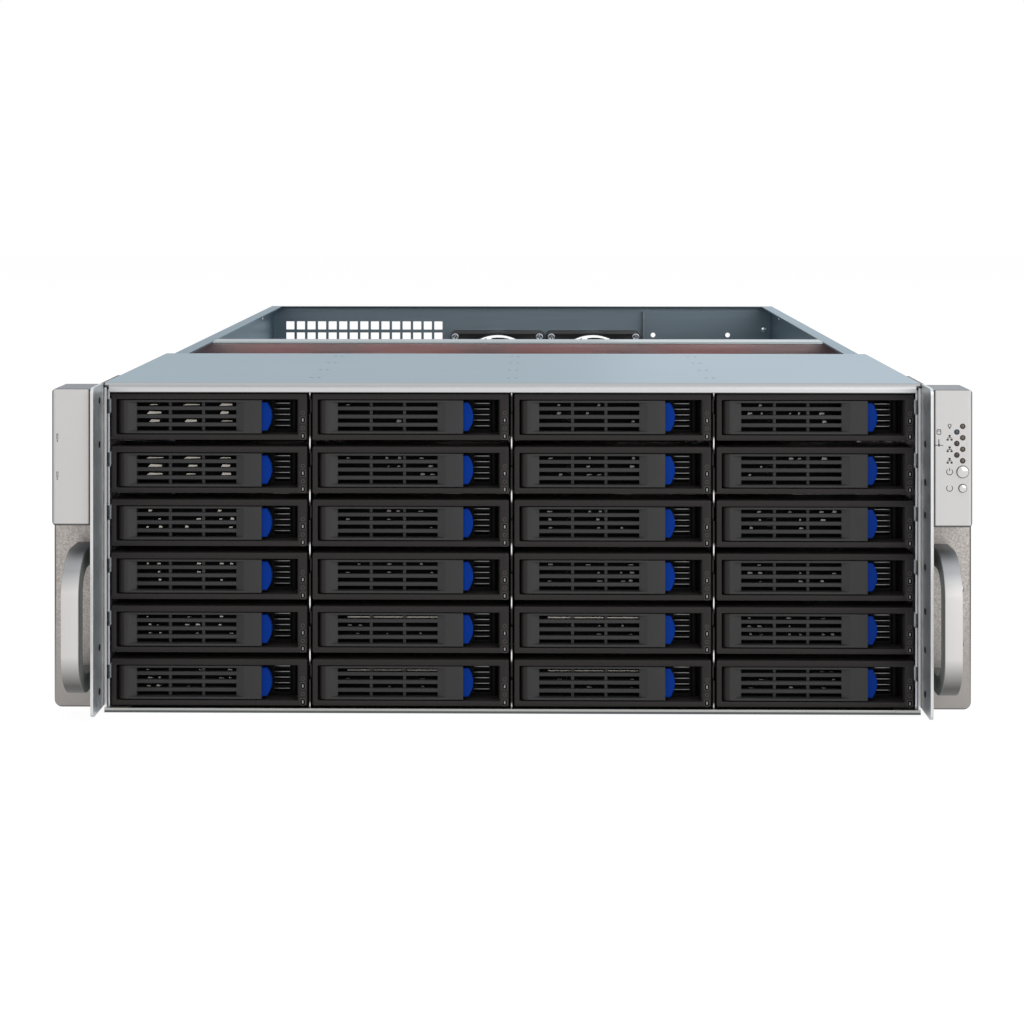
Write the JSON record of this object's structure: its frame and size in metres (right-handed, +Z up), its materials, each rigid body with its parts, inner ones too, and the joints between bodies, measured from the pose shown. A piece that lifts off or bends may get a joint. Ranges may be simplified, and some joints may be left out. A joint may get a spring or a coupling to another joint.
{
  "type": "rackmount server case",
  "caption": "Open-top rackmount server case with rows of sliding drive trays, swing levers with grilles and blue latches, fan wall, rack ears, pull handles and a control panel.",
  "frame": {"origin": "on the underside of the base, half way across and half way along the case body", "axes": "+X to the right seen from the front, +Y from the front to the rear, +Z up"},
  "size_m": [0.4826, 0.718, 0.174],
  "materials": {
    "case_steel": "zinc-coated steel, satin",
    "bright_steel": "plain bright steel sheet",
    "ear_steel": "spangled zinc-coated steel",
    "tray_plastic": "fine textured dark grey",
    "latch_blue": "satin blue",
    "board_red": "red solder mask",
    "board_dark": "green solder mask",
    "socket_black": "moulded black",
    "fan_black": "moulded black",
    "stud_brass": "turned brass",
    "screw_steel": "zinc-plated",
    "housing_silver": "satin silver",
    "handle_aluminium": "satin anodised",
    "lamp_lens": "diffuse lens",
    "button_silver": "bright"
  },
  "bodies": {
    "chassis": {"base_plate": "case_steel", "side_panels": "case_steel", "front_top_cover": "case_steel", "rear_panel": "case_steel", "bay_dividers": "bright_steel", "backplane_boards": "board_red", "backplane_sockets": "socket_black", "fan_wall": "case_steel", "slot_covers": "bright_steel", "psu_plate": "case_steel", "board_studs": "stud_brass", "rack_ears": "ear_steel", "guard_plates": "ear_steel", "case_screws": "screw_steel", "control_housing": "housing_silver", "usb_housing": "housing_silver", "ear_boards": "board_dark", "status_lamps": "lamp_lens", "front_handles": "handle_aluminium", "wall_fan_frames": "fan_black", "rear_fan_frames": "fan_black"},
    "tray_r1c1": {"drive_tray_r1c1": "tray_plastic"},
    "tray_r1c2": {"drive_tray_r1c2": "tray_plastic"},
    "tray_r1c3": {"drive_tray_r1c3": "tray_plastic"},
    "tray_r1c4": {"drive_tray_r1c4": "tray_plastic"},
    "tray_r2c1": {"drive_tray_r2c1": "tray_plastic"},
    "tray_r2c2": {"drive_tray_r2c2": "tray_plastic"},
    "tray_r2c3": {"drive_tray_r2c3": "tray_plastic"},
    "tray_r2c4": {"drive_tray_r2c4": "tray_plastic"},
    "tray_r3c1": {"drive_tray_r3c1": "tray_plastic"},
    "tray_r3c2": {"drive_tray_r3c2": "tray_plastic"},
    "tray_r3c3": {"drive_tray_r3c3": "tray_plastic"},
    "tray_r3c4": {"drive_tray_r3c4": "tray_plastic"},
    "tray_r4c1": {"drive_tray_r4c1": "tray_plastic"},
    "tray_r4c2": {"drive_tray_r4c2": "tray_plastic"},
    "tray_r4c3": {"drive_tray_r4c3": "tray_plastic"},
    "tray_r4c4": {"drive_tray_r4c4": "tray_plastic"},
    "tray_r5c1": {"drive_tray_r5c1": "tray_plastic"},
    "tray_r5c2": {"drive_tray_r5c2": "tray_plastic"},
    "tray_r5c3": {"drive_tray_r5c3": "tray_plastic"},
    "tray_r5c4": {"drive_tray_r5c4": "tray_plastic"},
    "tray_r6c1": {"drive_tray_r6c1": "tray_plastic"},
    "tray_r6c2": {"drive_tray_r6c2": "tray_plastic"},
    "tray_r6c3": {"drive_tray_r6c3": "tray_plastic"},
    "tray_r6c4": {"drive_tray_r6c4": "tray_plastic"},
    "lever_r1c1": {"tray_lever_r1c1": "tray_plastic"},
    "latch_r1c1": {"tray_latch_r1c1": "latch_blue"},
    "lever_r1c2": {"tray_lever_r1c2": "tray_plastic"},
    "latch_r1c2": {"tray_latch_r1c2": "latch_blue"},
    "lever_r1c3": {"tray_lever_r1c3": "tray_plastic"},
    "latch_r1c3": {"tray_latch_r1c3": "latch_blue"},
    "lever_r1c4": {"tray_lever_r1c4": "tray_plastic"},
    "latch_r1c4": {"tray_latch_r1c4": "latch_blue"},
    "power_button": {"power_button": "button_silver"},
    "reset_button": {"reset_button": "button_silver"},
    "wall_fan_rotor_1": {"wall_fan_rotor_1": "fan_black"},
    "wall_fan_rotor_2": {"wall_fan_rotor_2": "fan_black"},
    "wall_fan_rotor_3": {"wall_fan_rotor_3": "fan_black"},
    "rear_fan_rotor_1": {"rear_fan_rotor_1": "fan_black"},
    "rear_fan_rotor_2": {"rear_fan_rotor_2": "fan_black"}
  },
  "joints": [
    {"name": "tray_slide_r1c1", "type": "slide", "parent": "chassis", "child": "tray_r1c1", "axis": [0, -1, 0], "range_m": [0, 0.19]},
    {"name": "tray_slide_r1c2", "type": "slide", "parent": "chassis", "child": "tray_r1c2", "axis": [0, -1, 0], "range_m": [0, 0.19]},
    {"name": "tray_slide_r1c3", "type": "slide", "parent": "chassis", "child": "tray_r1c3", "axis": [0, -1, 0], "range_m": [0, 0.19]},
    {"name": "tray_slide_r1c4", "type": "slide", "parent": "chassis", "child": "tray_r1c4", "axis": [0, -1, 0], "range_m": [0, 0.19]},
    {"name": "tray_slide_r2c1", "type": "slide", "parent": "chassis", "child": "tray_r2c1", "axis": [0, -1, 0], "range_m": [0, 0.19]},
    {"name": "tray_slide_r2c2", "type": "slide", "parent": "chassis", "child": "tray_r2c2", "axis": [0, -1, 0], "range_m": [0, 0.19]},
    {"name": "tray_slide_r2c3", "type": "slide", "parent": "chassis", "child": "tray_r2c3", "axis": [0, -1, 0], "range_m": [0, 0.19]},
    {"name": "tray_slide_r2c4", "type": "slide", "parent": "chassis", "child": "tray_r2c4", "axis": [0, -1, 0], "range_m": [0, 0.19]},
    {"name": "tray_slide_r3c1", "type": "slide", "parent": "chassis", "child": "tray_r3c1", "axis": [0, -1, 0], "range_m": [0, 0.19]},
    {"name": "tray_slide_r3c2", "type": "slide", "parent": "chassis", "child": "tray_r3c2", "axis": [0, -1, 0], "range_m": [0, 0.19]},
    {"name": "tray_slide_r3c3", "type": "slide", "parent": "chassis", "child": "tray_r3c3", "axis": [0, -1, 0], "range_m": [0, 0.19]},
    {"name": "tray_slide_r3c4", "type": "slide", "parent": "chassis", "child": "tray_r3c4", "axis": [0, -1, 0], "range_m": [0, 0.19]},
    {"name": "tray_slide_r4c1", "type": "slide", "parent": "chassis", "child": "tray_r4c1", "axis": [0, -1, 0], "range_m": [0, 0.19]},
    {"name": "tray_slide_r4c2", "type": "slide", "parent": "chassis", "child": "tray_r4c2", "axis": [0, -1, 0], "range_m": [0, 0.19]},
    {"name": "tray_slide_r4c3", "type": "slide", "parent": "chassis", "child": "tray_r4c3", "axis": [0, -1, 0], "range_m": [0, 0.19]},
    {"name": "tray_slide_r4c4", "type": "slide", "parent": "chassis", "child": "tray_r4c4", "axis": [0, -1, 0], "range_m": [0, 0.19]},
    {"name": "tray_slide_r5c1", "type": "slide", "parent": "chassis", "child": "tray_r5c1", "axis": [0, -1, 0], "range_m": [0, 0.19]},
    {"name": "tray_slide_r5c2", "type": "slide", "parent": "chassis", "child": "tray_r5c2", "axis": [0, -1, 0], "range_m": [0, 0.19]},
    {"name": "tray_slide_r5c3", "type": "slide", "parent": "chassis", "child": "tray_r5c3", "axis": [0, -1, 0], "range_m": [0, 0.19]},
    {"name": "tray_slide_r5c4", "type": "slide", "parent": "chassis", "child": "tray_r5c4", "axis": [0, -1, 0], "range_m": [0, 0.19]},
    {"name": "tray_slide_r6c1", "type": "slide", "parent": "chassis", "child": "tray_r6c1", "axis": [0, -1, 0], "range_m": [0, 0.19]},
    {"name": "tray_slide_r6c2", "type": "slide", "parent": "chassis", "child": "tray_r6c2", "axis": [0, -1, 0], "range_m": [0, 0.19]},
    {"name": "tray_slide_r6c3", "type": "slide", "parent": "chassis", "child": "tray_r6c3", "axis": [0, -1, 0], "range_m": [0, 0.19]},
    {"name": "tray_slide_r6c4", "type": "slide", "parent": "chassis", "child": "tray_r6c4", "axis": [0, -1, 0], "range_m": [0, 0.19]},
    {"name": "lever_hinge_r1c1", "type": "hinge", "parent": "tray_r1c1", "child": "lever_r1c1", "pos_m": [-0.20525, -0.3339, 0.1558], "axis": [0, 0, -1], "range_deg": [0, 70]},
    {"name": "latch_slide_r1c1", "type": "slide", "parent": "lever_r1c1", "child": "latch_r1c1", "axis": [-1, 0, 0], "range_m": [0, 0.0024], "stiffness_N_per_m": 300},
    {"name": "lever_hinge_r1c2", "type": "hinge", "parent": "tray_r1c2", "child": "lever_r1c2", "pos_m": [-0.0986, -0.3339, 0.1558], "axis": [0, 0, -1], "range_deg": [0, 70]},
    {"name": "latch_slide_r1c2", "type": "slide", "parent": "lever_r1c2", "child": "latch_r1c2", "axis": [-1, 0, 0], "range_m": [0, 0.0024], "stiffness_N_per_m": 300},
    {"name": "lever_hinge_r1c3", "type": "hinge", "parent": "tray_r1c3", "child": "lever_r1c3", "pos_m": [0.00805, -0.3339, 0.1558], "axis": [0, 0, -1], "range_deg": [0, 70]},
    {"name": "latch_slide_r1c3", "type": "slide", "parent": "lever_r1c3", "child": "latch_r1c3", "axis": [-1, 0, 0], "range_m": [0, 0.0024], "stiffness_N_per_m": 300},
    {"name": "lever_hinge_r1c4", "type": "hinge", "parent": "tray_r1c4", "child": "lever_r1c4", "pos_m": [0.1147, -0.3339, 0.1558], "axis": [0, 0, -1], "range_deg": [0, 70]},
    {"name": "latch_slide_r1c4", "type": "slide", "parent": "lever_r1c4", "child": "latch_r1c4", "axis": [-1, 0, 0], "range_m": [0, 0.0024], "stiffness_N_per_m": 300},
    {"name": "power_button_press", "type": "slide", "parent": "chassis", "child": "power_button", "axis": [0, 1, 0], "range_m": [0, 0.0008], "stiffness_N_per_m": 800},
    {"name": "reset_button_press", "type": "slide", "parent": "chassis", "child": "reset_button", "axis": [0, 1, 0], "range_m": [0, 0.0008], "stiffness_N_per_m": 800},
    {"name": "wall_fan_rotor_1_spin", "type": "hinge", "parent": "chassis", "child": "wall_fan_rotor_1", "pos_m": [-0.123, -0.0198, 0.0864], "axis": [0, 1, 0], "continuous": true},
    {"name": "wall_fan_rotor_2_spin", "type": "hinge", "parent": "chassis", "child": "wall_fan_rotor_2", "pos_m": [0, -0.0198, 0.0864], "axis": [0, 1, 0], "continuous": true},
    {"name": "wall_fan_rotor_3_spin", "type": "hinge", "parent": "chassis", "child": "wall_fan_rotor_3", "pos_m": [0.123, -0.0198, 0.0864], "axis": [0, 1, 0], "continuous": true},
    {"name": "rear_fan_rotor_1_spin", "type": "hinge", "parent": "chassis", "child": "rear_fan_rotor_1", "pos_m": [-0.02042, 0.3263, 0.1112], "axis": [0, 1, 0], "continuous": true},
    {"name": "rear_fan_rotor_2_spin", "type": "hinge", "parent": "chassis", "child": "rear_fan_rotor_2", "pos_m": [0.06118, 0.3263, 0.1112], "axis": [0, 1, 0], "continuous": true}
  ]
}
